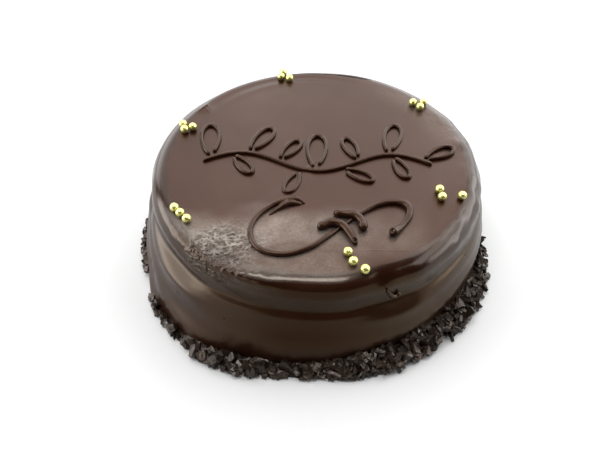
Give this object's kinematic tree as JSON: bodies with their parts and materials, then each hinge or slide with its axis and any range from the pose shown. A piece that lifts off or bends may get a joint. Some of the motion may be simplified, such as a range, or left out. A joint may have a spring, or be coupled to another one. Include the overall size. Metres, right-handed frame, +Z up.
{
  "type": "sachertorte cake",
  "caption": "Round glazed chocolate torte, low and two-layered, with piped lines and sugar pearls on top and a collar of chocolate shards at its foot.",
  "frame": {"origin": "middle of the underside, on the surface that the cake stands on", "axes": "+Z up through the top, -Y towards the front edge with the piped scroll, +X to the right of that view"},
  "size_m": [0.2124, 0.2154, 0.0627],
  "materials": {
    "chocolate_glaze": "smooth dark chocolate glaze with a soft satin gloss",
    "piped_chocolate": "piped dark chocolate, satin",
    "chocolate_shards": "broken dark chocolate, matt with a faint sheen on flat faces",
    "gold_pearls": "pale gold sugar pearls with a metallic coat"
  },
  "bodies": {
    "root": {"cake_body": "chocolate_glaze", "cross_stroke_back": "piped_chocolate", "cross_stroke_front": "piped_chocolate", "pearl_back_1": "gold_pearls", "pearl_back_2": "gold_pearls", "pearl_back_3": "gold_pearls", "pearl_front_1": "gold_pearls", "pearl_front_2": "gold_pearls", "pearl_front_3": "gold_pearls", "pearl_left_back_1": "gold_pearls", "pearl_left_back_2": "gold_pearls", "pearl_left_back_3": "gold_pearls", "pearl_left_front_1": "gold_pearls", "pearl_left_front_2": "gold_pearls", "pearl_left_front_3": "gold_pearls", "pearl_right_1": "gold_pearls", "pearl_right_2": "gold_pearls", "pearl_right_3": "gold_pearls", "pearl_right_back_1": "gold_pearls", "pearl_right_back_2": "gold_pearls", "pearl_right_back_3": "gold_pearls", "piped_scroll": "piped_chocolate", "shard_collar": "chocolate_shards", "vine_leaf_1": "piped_chocolate", "vine_leaf_10": "piped_chocolate", "vine_leaf_11": "piped_chocolate", "vine_leaf_2": "piped_chocolate", "vine_leaf_3": "piped_chocolate", "vine_leaf_4": "piped_chocolate", "vine_leaf_5": "piped_chocolate", "vine_leaf_6": "piped_chocolate", "vine_leaf_7": "piped_chocolate", "vine_leaf_8": "piped_chocolate", "vine_leaf_9": "piped_chocolate", "vine_stem": "piped_chocolate"}
  },
  "joints": []
}
